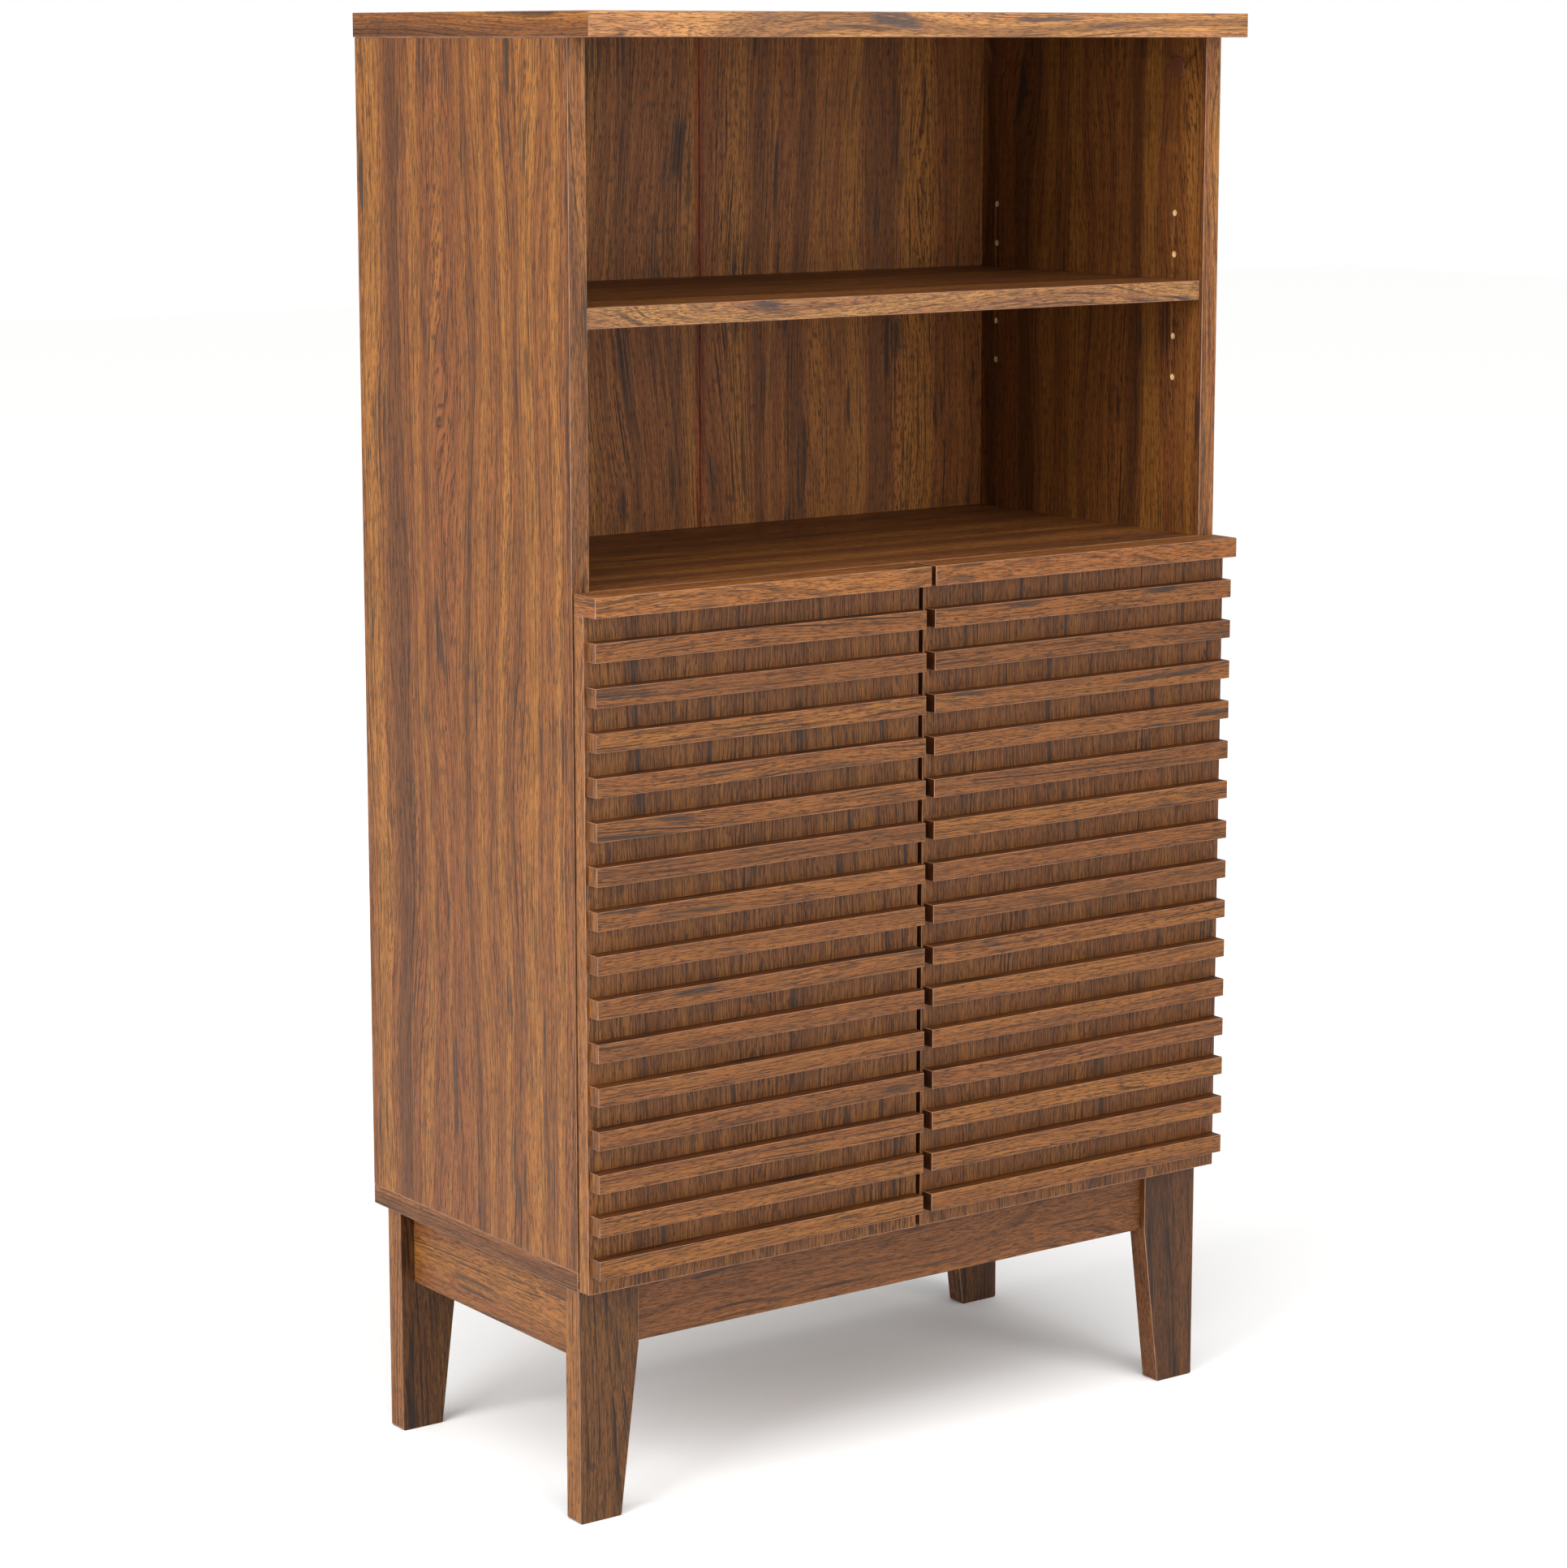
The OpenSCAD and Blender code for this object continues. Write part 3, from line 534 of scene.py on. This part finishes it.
def head_stander():
    """Stands one head on every point, out along its facing, turned at random about itself."""
    tree = new_tree(
        "Stand heads on points",
        {"Head": "Object", "Diameter": "Float", "Turn": "Float", "Seed": "Int", "Material": "Material"},
    )
    given = add(tree, "NodeGroupInput").outputs
    facing = add(tree, "GeometryNodeInputNamedAttribute", {"Name": "facing"}, data_type="FLOAT_VECTOR")
    aimed = add(tree, "FunctionNodeAlignRotationToVector", {"Vector": facing}, axis="Z")
    turn = add(
        tree, "FunctionNodeRandomValue", {"Max": given["Turn"], "Seed": given["Seed"]}, data_type="FLOAT"
    )
    spun = add(tree, "FunctionNodeAxisAngleToRotation", {"Axis": (0, 0, 1), "Angle": turn})
    turned = add(tree, "FunctionNodeRotateRotation", {0: aimed, 1: spun}, rotation_space="LOCAL")
    head = add(tree, "GeometryNodeObjectInfo", {"Object": given["Head"]}).outputs["Geometry"]
    stood = add(
        tree, "GeometryNodeInstanceOnPoints",
        {"Points": given["Geometry"], "Instance": head, "Rotation": turned, "Scale": given["Diameter"]},
    )
    real = add(tree, "GeometryNodeRealizeInstances", {0: stood})
    finished = add(tree, "GeometryNodeSetMaterial", {0: real, "Material": given["Material"]})
    add(tree, "NodeGroupOutput", {0: finished})
    return tree


# ---- Dressing the CAD pieces ----------------------------------------------------------------


def dress(names, material, edge_width, edge_material=None, shortest=0.0):
    """Gives CAD nodes their material and eases their sharp edges, which take the edge material.

    Sharp edges shorter than shortest, such as those round a drilled hole, are left as they are.
    """
    picker = bpy.data.node_groups.get("Pick long sharp edges") or edge_picker()
    for name in names:
        node = NODES[name]
        node.data.materials.clear()
        node.data.materials.append(material)
        if edge_material:
            node.data.materials.append(edge_material)
        weld = node.modifiers.new("Join corners", "WELD")
        weld.merge_threshold = SAME_POINT
        run_tree(node, picker, {"Least angle": SHARP, "Least length": shortest})
        ease = node.modifiers.new("Ease edges", "BEVEL")
        ease.width = edge_width
        ease.segments = 2
        ease.limit_method = "WEIGHT"
        ease.use_clamp_overlap = False
        ease.material = 1 if edge_material else -1
        level = node.modifiers.new("Level faces", "WEIGHTED_NORMAL")
        level.keep_sharp = False
        level.weight = 100


# ---- Small fittings -------------------------------------------------------------------------


def turned_head(name, profile, cross=None, segments=24):
    """A turned head of unit diameter on Z = 0: profile is (radius, height) from the rim inwards.

    cross is (arm length, arm width, depth) of a driver's cross, or None for a plain top.
    """
    shape = bmesh.new()
    directions = [2 * math.pi * i / segments for i in range(segments)]
    rings = []
    for radius, height in profile:
        ring = [shape.verts.new((radius * math.cos(a), radius * math.sin(a), height)) for a in directions]
        rings.append(ring)
    for lower, upper in zip(rings, rings[1:]):
        for i in range(segments):
            j = (i + 1) % segments
            shape.faces.new((lower[i], lower[j], upper[j], upper[i]))
    shape.faces.new(list(reversed(rings[0])))
    if cross:
        top = profile[-1][1]
        reach, width, depth = cross
        w = width / 2
        corners = [
            (reach, -w), (reach, w), (w, w), (w, reach), (-w, reach), (-w, w),
            (-reach, w), (-reach, -w), (-w, -w), (-w, -reach), (w, -reach), (w, -w),
        ]
        taper = 0.8
        rim = [shape.verts.new((x, y, top)) for x, y in corners]
        pit = [shape.verts.new((x * taper, y * taper, top - depth)) for x, y in corners]
        loop = [shape.edges.new(pair) for pair in zip(rim, rim[1:] + rim[:1])]
        outer = [shape.edges.get(pair) for pair in zip(rings[-1], rings[-1][1:] + rings[-1][:1])]
        bmesh.ops.bridge_loops(shape, edges=loop + outer)
        for i in range(len(corners)):
            j = (i + 1) % len(corners)
            shape.faces.new((rim[i], rim[j], pit[j], pit[i]))
        shape.faces.new(pit)
    else:
        shape.faces.new(rings[-1])
    bmesh.ops.recalc_face_normals(shape, faces=shape.faces)
    mesh = bpy.data.meshes.new(name)
    shape.to_mesh(mesh)
    shape.free()
    return bpy.data.objects.new(name, mesh)


def stand_heads(name, body, places, head, diameter, material, turn=0.0, seed=0):
    """One plain mesh of heads: places are (point, direction outwards) pairs on one body."""
    mesh = bpy.data.meshes.new(name + "_points")
    mesh.from_pydata([tuple(point) for point, _ in places], [], [])
    facing = mesh.attributes.new("facing", "FLOAT_VECTOR", "POINT")
    for i, (_, way) in enumerate(places):
        facing.data[i].vector = way
    carrier = bpy.data.objects.new(name + "_points", mesh)
    bpy.context.scene.collection.objects.link(carrier)
    bpy.context.scene.collection.objects.link(head)
    tree = bpy.data.node_groups.get("Stand heads on points") or head_stander()
    values = {"Head": head, "Diameter": diameter, "Turn": turn, "Seed": seed, "Material": material}
    run_tree(carrier, tree, values)
    bpy.context.view_layer.update()
    evaluated = carrier.evaluated_get(bpy.context.evaluated_depsgraph_get())
    made = bpy.data.meshes.new_from_object(evaluated)
    made.name = name
    bpy.data.objects.remove(carrier)
    bpy.data.objects.remove(head)
    for polygon in made.polygons:
        polygon.use_smooth = False
    piece = bpy.data.objects.new(name, made)
    bpy.context.scene.collection.objects.link(piece)
    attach(piece, body)


# ---- Operators ------------------------------------------------------------------------------


class CABINET_OT_carcass(bpy.types.Operator):
    """Finish the side panels, top, bottom, shelves and back panel"""

    bl_idname = "cabinet.carcass"
    bl_label = "Carcass"

    def execute(self, context):
        foil = context.scene.cabinet_foil
        edge = shared("walnut_foil_worn_edge", edge_highlight, foil)
        low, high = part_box("right_side_panel")
        edging = Vector((0, 4, 4)) * MM
        side = walnut_foil(
            "walnut_foil_sides", foil, Z, Y, (1, 0, 0), seed=3.1, veins=0.6, tape=(1.15, 1.25, 1.4),
            core=(low + edging, high - edging),
        )
        dress(("left_side_panel", "right_side_panel"), side, foil.edge_width, edge, foil.shortest_edge)
        top = walnut_foil("walnut_foil_top", foil, X, Y, seed=5.2, veins=0.9, tape=(2.1, 2.8, 4.2))
        dress(("top_panel",), top, foil.edge_width, edge, foil.shortest_edge)
        shelf = walnut_foil(
            "walnut_foil_shelves", foil, X, Y, (0, 0, 10), seed=7.7, veins=0.6, contrast=0.8,
            tape=(1.25, 1.6, 2.6),
        )
        shelves = ("bottom_panel", "fixed_shelf", "upper_shelf", "middle_shelf", "lower_shelf")
        dress(shelves, shelf, foil.edge_width, edge, foil.shortest_edge)
        fold = (foil.fold_width / 2, False, (0.9, 0.6, 0.42))
        back = walnut_foil(
            "walnut_foil_back_board", foil, Z, X, seed=9.4, veins=0.8, contrast=0.8, lightness=1.25,
            middle_tape_and_shade=fold,
        )
        dress(("back_panel",), back, 0.2 * MM)
        return {"FINISHED"}


class CABINET_OT_base(bpy.types.Operator):
    """Finish the legs and aprons"""

    bl_idname = "cabinet.base"
    bl_label = "Base"

    def execute(self, context):
        foil = context.scene.cabinet_foil
        edge = shared("walnut_foil_worn_edge", edge_highlight, foil)
        # Painted shade: the legs' front and back faces, which look along Y, are darkened to 0.42 of their
        # colour by the tape factor, as shade.
        legs = walnut_foil(
            "walnut_foil_legs", foil, Z, Y, (1, 1, 0), seed=11.3, figure=8, veins=0.3, contrast=0.6,
            tape=(0.42, 0.42, 0.42),
        )
        names = [f"{place}_{side}_leg" for place in ("front", "back") for side in SIDES]
        dress(names, legs, foil.edge_width, edge, foil.shortest_edge)
        cross = walnut_foil(
            "walnut_foil_cross_aprons", foil, X, Y, (0, 1, 0), seed=13.9, veins=0.5, contrast=0.7
        )
        dress(("front_apron", "back_apron"), cross, foil.edge_width, edge, foil.shortest_edge)
        sides = walnut_foil(
            "walnut_foil_side_aprons", foil, Y, X, (1, 0, 0), seed=15.1, figure=12, veins=0.4, contrast=0.7
        )
        dress(("left_apron", "right_apron"), sides, foil.edge_width, edge, foil.shortest_edge)
        return {"FINISHED"}


class CABINET_OT_doors(bpy.types.Operator):
    """Finish the door panels, grip rails and slats"""

    bl_idname = "cabinet.doors"
    bl_label = "Doors"

    def execute(self, context):
        foil = context.scene.cabinet_foil
        edge = shared("walnut_foil_worn_edge", edge_highlight, foil)
        # Painted shade: the door panels', rails' and slats' ends that face sideways near the middle are
        # darkened to this colour as the shadowed gap where the doors meet.
        painted_gap_shade = (foil.gap_shade, True, (0.3, 0.22, 0.15))
        panel = walnut_foil(
            "walnut_foil_door_panels", foil, Z, X, (1, 0, 0), seed=17.6, figure=10, veins=0.7,
            contrast=0.45, lightness=0.8, tape=(1.5, 1.6, 1.8), middle_tape_and_shade=painted_gap_shade,
        )
        panels = [f"{side}_door_panel" for side in SIDES]
        dress(panels, panel, foil.edge_width, edge, foil.shortest_edge)
        rail = walnut_foil(
            "walnut_foil_rails", foil, X, Y, (1, 0, 0), seed=19.8, figure=10, veins=0.4, contrast=0.4,
            lightness=1.12, middle_tape_and_shade=painted_gap_shade,
        )
        dress([f"{side}_door_rail" for side in SIDES], rail, foil.edge_width, edge)

        # Each slat is cut from its own stretch of the print, which starts a quarter of the pitch below it
        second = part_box("left_slat_02")[0].z
        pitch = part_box("left_slat_01")[0].z - second
        # Painted shade: the slats' top and bottom faces, which look along Z, are darkened by the tape factor
        # as shade, and their ends near the middle take the painted gap shade.
        slat = walnut_foil(
            "walnut_foil_slats", foil, X, Z, (1, 0, 1 / pitch), (0, 0, 0.25 - second / pitch), seed=23.3,
            figure=9, veins=0.8, contrast=0.45, lightness=0.85, tape=(0.6, 0.52, 0.46), middle_tape_and_shade=painted_gap_shade,
        )
        names = [f"{side}_slat_{i:02d}" for side in SIDES for i in SLAT_NUMBERS]
        dress(names, slat, foil.slat_edge_width, edge)
        return {"FINISHED"}


class CABINET_OT_hardware(bpy.types.Operator):
    """Finish the hinges, pins, cams, brackets and dowels"""

    bl_idname = "cabinet.hardware"
    bl_label = "Hardware"

    def execute(self, context):
        look = context.scene.cabinet_fittings
        nickel = shared("nickel_plated_steel", plated_steel, "nickel_plated_steel", look.nickel, 0.28)
        zinc = shared("zinc_plated_steel", plated_steel, "zinc_plated_steel", look.zinc, 0.4)
        hinges = ["hinge_arms"] + [f"{side}_hinge_{part}" for side in SIDES for part in ("cups", "links")]
        dress(hinges, nickel, 0.12 * MM)
        dress(("shelf_pins",), nickel, 0.4 * MM)
        dress(("cam_fittings", "leg_brackets"), zinc, 0.15 * MM)
        dress(("dowels",), raw_beech(look.beech), 0.5 * MM)
        return {"FINISHED"}


class CABINET_OT_caps(bpy.types.Operator):
    """Stick a cap over every cam drum"""

    bl_idname = "cabinet.caps"
    bl_label = "Cam caps"

    def execute(self, context):
        look = context.scene.cabinet_fittings
        low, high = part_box("right_side_panel")
        columns = (low.y + look.column_front, high.y - look.column_back)
        shelf_low, shelf_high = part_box("fixed_shelf")
        places = []
        for way in (-1, 1):
            for y in columns:
                for z in (high.z - look.cam_inset, low.z + look.cam_inset):
                    places.append(((way * low.x, y, z), (-way, 0, 0)))
                places.append(((way * (shelf_high.x - look.cam_inset), y, shelf_low.z), (0, 0, -1)))
        cap = turned_head("cap", [(0.5, 0), (0.5, 0.02), (0.48, 0.035), (0.3, 0.045), (0.05, 0.048)])
        stand_heads("cam_caps", "carcass", places, cap, look.cap_diameter, paper_cap(look.cap_colour))
        return {"FINISHED"}


class CABINET_OT_screws(bpy.types.Operator):
    """Drive the screws of the hinges and leg brackets"""

    bl_idname = "cabinet.screws"
    bl_label = "Screws"

    def execute(self, context):
        look = context.scene.cabinet_fittings
        zinc = shared("zinc_plated_steel", plated_steel, "zinc_plated_steel", look.zinc, 0.4)
        nickel = shared("nickel_plated_steel", plated_steel, "nickel_plated_steel", look.nickel, 0.28)
        flat = [(0.5, 0), (0.5, 0.03), (0.46, 0.08), (0.34, 0.12)]
        pan = [(0.5, 0), (0.5, 0.12), (0.45, 0.22), (0.34, 0.28)]
        shallow_cross, deep_cross = (0.24, 0.09, 0.07), (0.24, 0.09, 0.16)

        def two_pairs(low, high, inset, spacing):
            """Heights of the screws of two hinges, where inset is from the far ends of the two."""
            return [z + up for z in (low.z + inset, high.z - inset - spacing) for up in (0, spacing)]

        for side in SIDES:
            low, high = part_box(f"{side}_hinge_cups")
            heights = two_pairs(low, high, 6 * MM, 42 * MM)
            places = [(((low.x + high.x) / 2, high.y, z), (0, 1, 0)) for z in heights]
            stand_heads(
                f"{side}_hinge_screws", f"{side}_door", places, turned_head("screw", flat, shallow_cross),
                look.screw_diameter, nickel, math.tau, look.screw_seed,
            )

        low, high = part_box("hinge_arms")
        panel_low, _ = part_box("right_side_panel")
        plate_face, plate_screws = panel_low.x - 2.5 * MM, panel_low.y + 37 * MM
        heights = two_pairs(low, high, 9 * MM, 32 * MM)
        places = [((way * plate_face, plate_screws, z), (-way, 0, 0)) for way in (-1, 1) for z in heights]
        stand_heads(
            "hinge_arm_screws", "carcass", places, turned_head("screw", pan, deep_cross),
            look.screw_diameter, nickel, math.tau, look.screw_seed + 1,
        )

        low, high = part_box("leg_brackets")
        steel, near, far, half_width = 2 * MM, 10 * MM, 30 * MM, 9 * MM
        places = []
        for way in (-1, 1):
            x = way * (high.x - half_width)
            for y, back in ((low.y, 1), (high.y, -1)):
                for reach in (near, far):
                    places.append(((x, y + back * steel, high.z - reach), (0, back, 0)))
                    places.append(((x, y + back * reach, high.z - steel), (0, 0, -1)))
        stand_heads(
            "bracket_screws", "carcass", places, turned_head("screw", pan, deep_cross),
            look.screw_diameter * 1.15, zinc, math.tau, look.screw_seed + 2,
        )
        return {"FINISHED"}


class CABINET_OT_pads(bpy.types.Operator):
    """Stick the doors' closing pads behind their free corners"""

    bl_idname = "cabinet.pads"
    bl_label = "Door pads"

    def execute(self, context):
        look = context.scene.cabinet_fittings
        felt = pressed_felt(look.felt)
        bottom_low, bottom_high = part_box("bottom_panel")
        shelf_low, shelf_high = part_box("fixed_shelf")
        heights = [(bottom_low.z + bottom_high.z) / 2, (shelf_low.z + shelf_high.z) / 2]
        from_edge = 14 * MM
        for side in SIDES:
            low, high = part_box(f"{side}_door_panel")
            x = high.x - from_edge if side == "left" else low.x + from_edge
            places = [((x, high.y, z), (0, 1, 0)) for z in heights]
            pad = turned_head("pad", [(0.5, 0), (0.5, 0.11), (0.47, 0.145), (0.38, 0.16)])
            stand_heads(f"{side}_door_pads", f"{side}_door", places, pad, look.pad_diameter, felt)
        return {"FINISHED"}


class CABINET_OT_stage(bpy.types.Operator):
    """Set the floor, the lights and the camera"""

    bl_idname = "cabinet.stage"
    bl_label = "Studio"

    def execute(self, context):
        scene, look = context.scene, context.scene.cabinet_stage
        scene.view_settings.view_transform = "Standard"

        reach = 12.0
        corners = [(-reach, -reach, 0), (reach, -reach, 0), (reach, reach, 0), (-reach, reach, 0)]
        mesh = bpy.data.meshes.new("studio_floor")
        mesh.from_pydata(corners, [], [(0, 1, 2, 3)])
        floor = bpy.data.objects.new("studio_floor", mesh)
        scene.collection.objects.link(floor)
        material, tree = new_material("matt_white_floor")
        end_in_shader(tree, {"Base Color": rgba(look.floor), "Roughness": 0.9})
        mesh.materials.append(material)

        world = bpy.data.worlds.new("studio_room")
        scene.world = world
        world.use_nodes = True
        tree = world.node_tree
        tree.nodes.clear()
        seen = add(tree, "ShaderNodeLightPath").outputs["Is Camera Ray"]
        seen_strength = 1.0
        strength = add(
            tree, "ShaderNodeMapRange",
            {"Value": seen, "To Min": look.sky_strength, "To Max": seen_strength},
        )
        sky = add(tree, "ShaderNodeBackground", {"Color": (1, 1, 1, 1), "Strength": strength})
        add(tree, "ShaderNodeOutputWorld", {"Surface": sky})

        aim = (CAD_BOX[0] + CAD_BOX[1]) / 2
        for name, place, size, power in (
            ("key_light", (-3.6, -0.7, 2.1), 2.4, look.key_power),
            ("front_light", (0.5, -3.6, 1.5), 2.2, look.front_power),
        ):
            light = bpy.data.lights.new(name, "AREA")
            light.shape = "SQUARE"
            light.size = size
            light.energy = power
            lamp = bpy.data.objects.new(name, light)
            lamp.location = place
            lamp.rotation_euler = (aim - lamp.location).to_track_quat("-Z", "Y").to_euler()
            scene.collection.objects.link(lamp)

        light = bpy.data.lights.new("overhead_light", "SUN")
        light.energy = look.overhead_strength
        light.angle = math.radians(60)
        lamp = bpy.data.objects.new("overhead_light", light)
        lamp.location = (0, 0, 4)
        lamp.rotation_euler = Vector((0.25, 0.5, -1)).to_track_quat("-Z", "Y").to_euler()
        scene.collection.objects.link(lamp)

        camera = bpy.data.cameras.new("studio_camera")
        camera.lens = look.lens
        camera.sensor_width = 36.0
        camera.shift_y = look.shift
        camera.clip_start = 0.05
        camera.clip_end = 60.0
        eye = bpy.data.objects.new("studio_camera", camera)
        eye.location = look.eye
        level = math.cos(look.pitch)
        ahead = Vector((math.sin(look.yaw) * level, math.cos(look.yaw) * level, -math.sin(look.pitch)))
        eye.rotation_euler = ahead.to_track_quat("-Z", "Y").to_euler()
        scene.collection.objects.link(eye)
        scene.camera = eye
        return {"FINISHED"}


OPERATORS = (
    CABINET_OT_carcass, CABINET_OT_base, CABINET_OT_doors, CABINET_OT_hardware,
    CABINET_OT_caps, CABINET_OT_screws, CABINET_OT_pads, CABINET_OT_stage,
)


class CABINET_PT_panel(bpy.types.Panel):
    """Lists the cabinet's operators and settings"""

    bl_idname = "CABINET_PT_panel"
    bl_label = "Shoe cabinet"
    bl_space_type = "VIEW_3D"
    bl_region_type = "UI"
    bl_category = "Cabinet"

    def draw(self, context):
        for operator in OPERATORS:
            self.layout.operator(operator.bl_idname)
        scene = context.scene
        for settings in (scene.cabinet_foil, scene.cabinet_fittings, scene.cabinet_stage):
            for name in settings.__annotations__:
                self.layout.prop(settings, name)


CLASSES = (FoilSettings, FittingSettings, StageSettings, *OPERATORS, CABINET_PT_panel)


def register():
    for cls in CLASSES:
        bpy.utils.register_class(cls)
    bpy.types.Scene.cabinet_foil = PointerProperty(type=FoilSettings)
    bpy.types.Scene.cabinet_fittings = PointerProperty(type=FittingSettings)
    bpy.types.Scene.cabinet_stage = PointerProperty(type=StageSettings)


def unregister():
    del bpy.types.Scene.cabinet_foil
    del bpy.types.Scene.cabinet_fittings
    del bpy.types.Scene.cabinet_stage
    for cls in reversed(CLASSES):
        bpy.utils.unregister_class(cls)


def main():
    register()
    bpy.ops.cabinet.carcass()
    bpy.ops.cabinet.base()
    bpy.ops.cabinet.doors()
    bpy.ops.cabinet.hardware()
    bpy.ops.cabinet.caps()
    bpy.ops.cabinet.screws()
    bpy.ops.cabinet.pads()
    bpy.ops.cabinet.stage()


if __name__ == "__main__":
    main()
